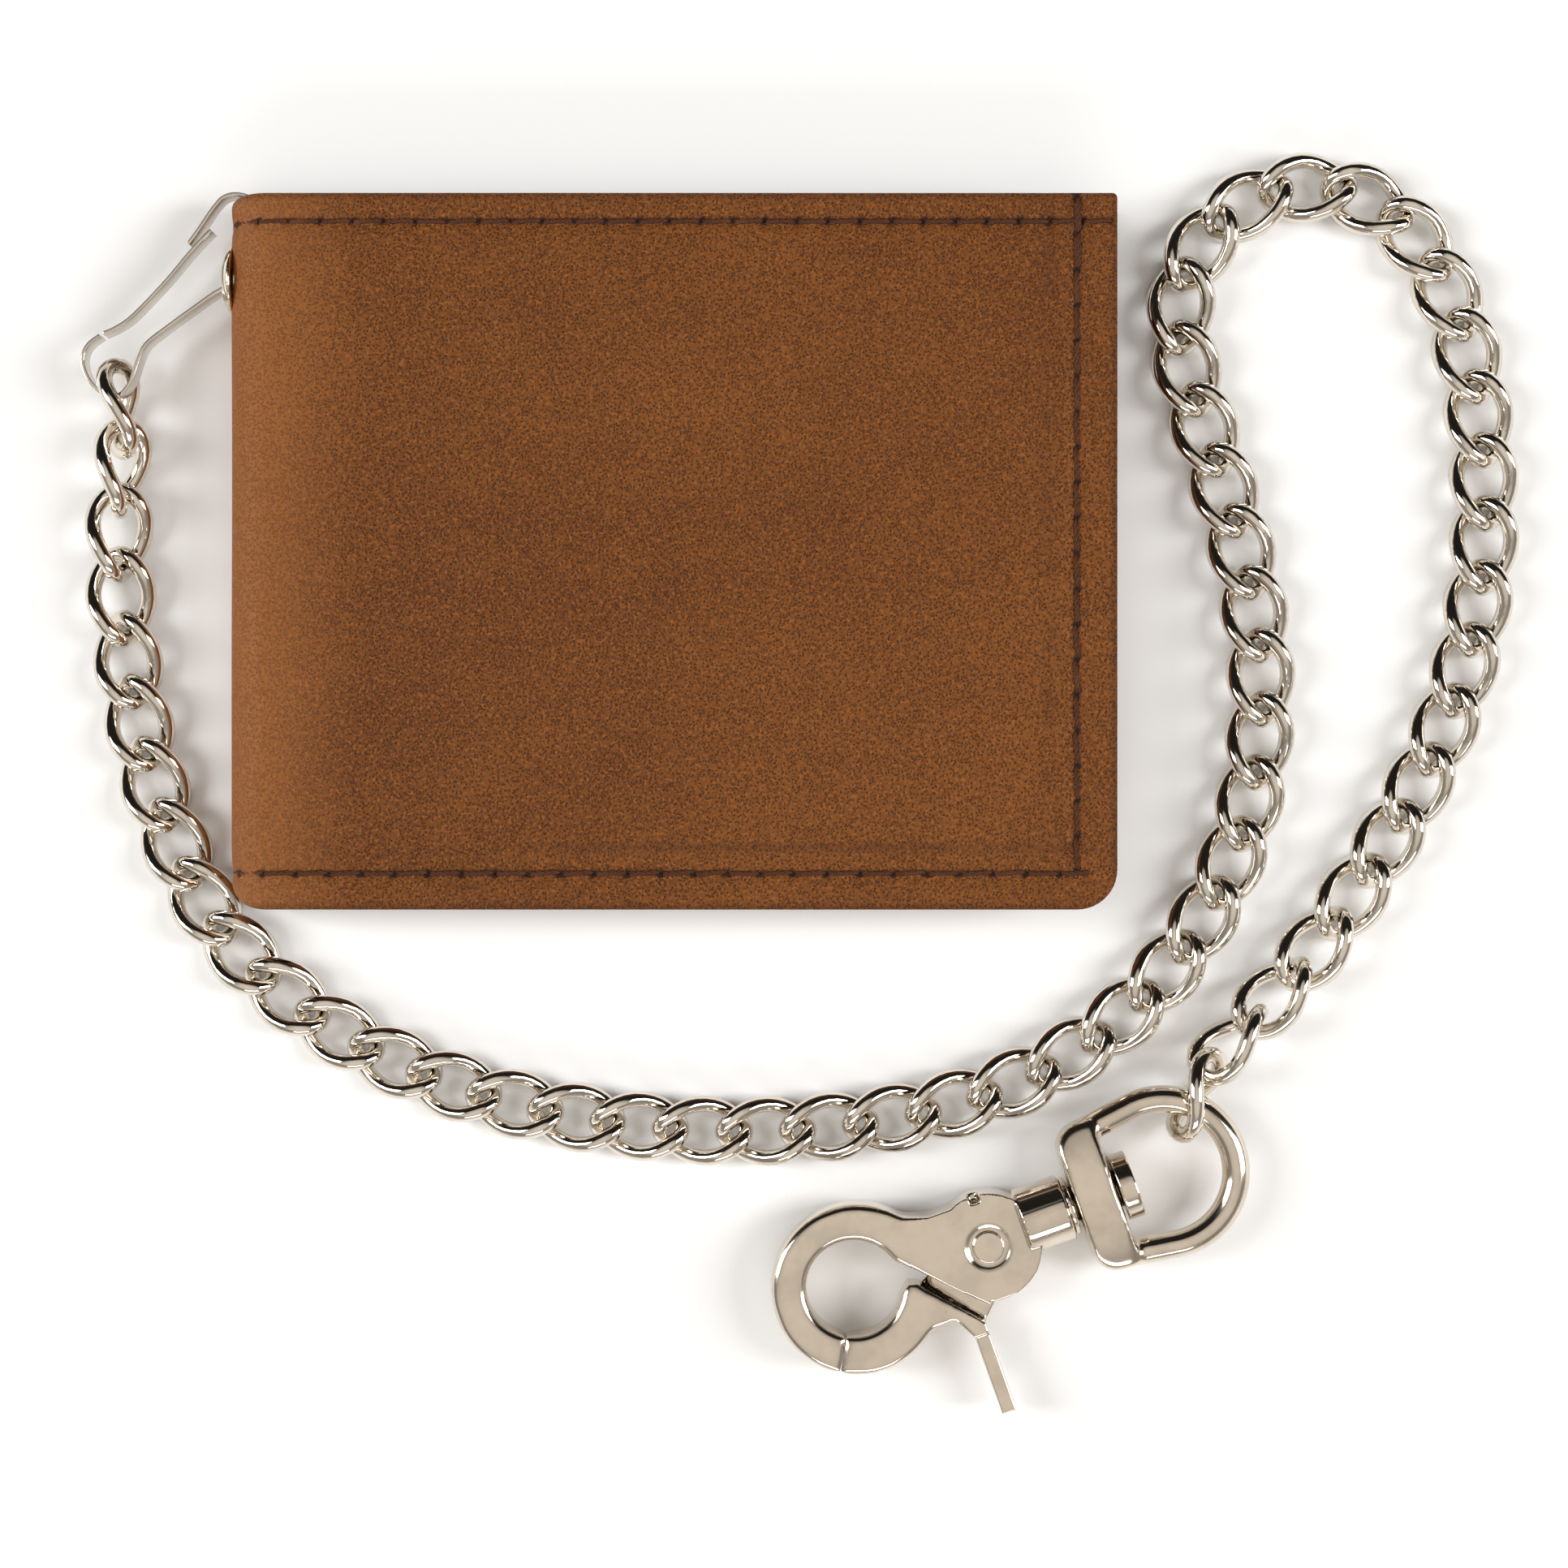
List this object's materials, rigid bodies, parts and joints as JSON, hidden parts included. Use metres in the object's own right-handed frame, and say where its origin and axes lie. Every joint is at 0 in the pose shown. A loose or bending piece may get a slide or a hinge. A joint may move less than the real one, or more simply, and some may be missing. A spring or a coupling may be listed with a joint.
{
  "type": "chain wallet",
  "caption": "Bifold leather wallet whose fold carries a grommet and a spring clip, with a curb chain that ends in a swivelling trigger snap.",
  "frame": {"origin": "centre of the closed wallet's back face, which rests on the ground plane", "axes": "+X from the fold to the free edge, +Y to the open top of the wallet, +Z out of the front face"},
  "size_m": [0.1818, 0.1598, 0.011],
  "materials": {
    "cover_leather": "waxed pull-up leather, reddish brown, semi-matte with cloudy mottling",
    "lining_leather": "thin smooth lining leather, matte",
    "pocket_leather": "thin smooth leather, satin",
    "waxed_thread": "waxed three-ply thread, dark brown",
    "nickel_casting": "polished nickel plate on die castings",
    "nickel_wire": "polished nickel plate on bent wire",
    "spring_steel": "nickel-plated spring steel strip"
  },
  "bodies": {
    "wallet": {"cover_back": "cover_leather", "cover_spine": "cover_leather", "lining_back": "lining_leather", "lining_spine": "lining_leather", "panel_back": "pocket_leather", "card_slot_back_1": "pocket_leather", "card_slot_back_2": "pocket_leather", "card_slot_back_3": "pocket_leather", "thread_top_back": "waxed_thread", "thread_side_back": "waxed_thread", "thread_bottom_back": "waxed_thread", "grommet": "nickel_casting", "grommet_washer": "nickel_casting", "clip_body": "spring_steel"},
    "front_half": {"cover_front": "cover_leather", "lining_front": "lining_leather", "panel_front": "pocket_leather", "card_slot_front_1": "pocket_leather", "card_slot_front_2": "pocket_leather", "card_slot_front_3": "pocket_leather", "thread_top_front": "waxed_thread", "thread_side_front": "waxed_thread", "thread_bottom_front": "waxed_thread"},
    "clip_arm": {"clip_arm": "spring_steel"},
    "first_link": {"link_first": "nickel_wire"},
    "chain_1": {"chain_1": "nickel_wire"},
    "chain_2": {"chain_2": "nickel_wire"},
    "chain_3": {"chain_3": "nickel_wire"},
    "chain_4": {"chain_4": "nickel_wire"},
    "chain_5": {"chain_5": "nickel_wire"},
    "chain_6": {"chain_6": "nickel_wire"},
    "chain_7": {"chain_7": "nickel_wire"},
    "chain_8": {"chain_8": "nickel_wire"},
    "chain_9": {"chain_9": "nickel_wire"},
    "chain_10": {"chain_10": "nickel_wire"},
    "chain_11": {"chain_11": "nickel_wire"},
    "last_link": {"link_last": "nickel_wire"},
    "swivel_loop": {"swivel_loop": "nickel_casting"},
    "snap": {"hook_body": "nickel_casting", "swivel_stem": "nickel_casting", "rivet": "nickel_casting", "gate_spring": "spring_steel"},
    "gate": {"gate": "nickel_casting"}
  },
  "joints": [
    {"name": "fold", "type": "hinge", "parent": "wallet", "child": "front_half", "pos_m": [-0.05, 0, 0.011], "axis": [0, -1, 0], "range_deg": [0, 175]},
    {"name": "clip_arm_flex", "type": "hinge", "parent": "wallet", "child": "clip_arm", "pos_m": [-0.0713, 0.02765, 0.005], "axis": [0, 0, 1], "range_deg": [-5, 0], "stiffness_Nm_per_rad": 0.3},
    {"name": "first_link_turn", "type": "hinge", "parent": "wallet", "child": "first_link", "pos_m": [-0.07, 0.0206, 0.005], "axis": [0, 0, 1], "range_deg": [-9, 0]},
    {"name": "chain_1_turn", "type": "hinge", "parent": "first_link", "child": "chain_1", "pos_m": [-0.0697, 0.0148, 0.00227], "axis": [0, 0, 1], "range_deg": [-12, 0]},
    {"name": "chain_2_turn", "type": "hinge", "parent": "chain_1", "child": "chain_2", "pos_m": [-0.0671, -0.02504, 0.00227], "axis": [0, 0, 1], "range_deg": [-12, 0]},
    {"name": "chain_3_turn", "type": "hinge", "parent": "chain_2", "child": "chain_3", "pos_m": [-0.04593, -0.05823, 0.00227], "axis": [0, 0, 1], "range_deg": [-12, 0]},
    {"name": "chain_4_turn", "type": "hinge", "parent": "chain_3", "child": "chain_4", "pos_m": [-0.00835, -0.0719, 0.00227], "axis": [0, 0, 1], "range_deg": [-12, 0]},
    {"name": "chain_5_turn", "type": "hinge", "parent": "chain_4", "child": "chain_5", "pos_m": [0.03177, -0.07063, 0.00227], "axis": [0, 0, 1], "range_deg": [-12, 0]},
    {"name": "chain_6_lift", "type": "hinge", "parent": "chain_5", "child": "chain_6", "pos_m": [0.06508, -0.04961, 0.00227], "axis": [0.8179, -0.5754, 0], "range_deg": [0, 14]},
    {"name": "chain_7_lift", "type": "hinge", "parent": "chain_6", "child": "chain_7", "pos_m": [0.07447, -0.01125, 0.00227], "axis": [0.9949, 0.101, 0], "range_deg": [0, 14]},
    {"name": "chain_8_lift", "type": "hinge", "parent": "chain_7", "child": "chain_8", "pos_m": [0.06465, 0.02781, 0.00227], "axis": [0.9946, 0.1037, 0], "range_deg": [0, 14]},
    {"name": "chain_9_lift", "type": "hinge", "parent": "chain_8", "child": "chain_9", "pos_m": [0.09181, 0.04309, 0.00227], "axis": [-0.6331, -0.7741, 0], "range_deg": [0, 14]},
    {"name": "chain_10_lift", "type": "hinge", "parent": "chain_9", "child": "chain_10", "pos_m": [0.10322, 0.00553, 0.00227], "axis": [-1, 0.0029, 0], "range_deg": [0, 14]},
    {"name": "chain_11_lift", "type": "hinge", "parent": "chain_10", "child": "chain_11", "pos_m": [0.09269, -0.03295, 0.00227], "axis": [-0.874, 0.4859, 0], "range_deg": [0, 14]},
    {"name": "last_link_turn", "type": "hinge", "parent": "chain_11", "child": "last_link", "pos_m": [0.068, -0.0645, 0.004], "axis": [0, 0, 1], "range_deg": [0, 10]},
    {"name": "swivel_loop_turn", "type": "hinge", "parent": "last_link", "child": "swivel_loop", "pos_m": [0.06437, -0.06811, 0.00425], "axis": [0, 0, 1], "range_deg": [0, 15]},
    {"name": "snap_swivel", "type": "hinge", "parent": "swivel_loop", "child": "snap", "pos_m": [0.05356, -0.08101, 0.00425], "axis": [0.9426, 0.3338, 0], "range_deg": [-120, 120]},
    {"name": "gate_swing", "type": "hinge", "parent": "snap", "child": "gate", "pos_m": [0.0398, -0.0871, 0.00425], "axis": [0, 0, 1], "range_deg": [0, 25], "stiffness_Nm_per_rad": 0.05, "springref_deg": -11.46}
  ]
}
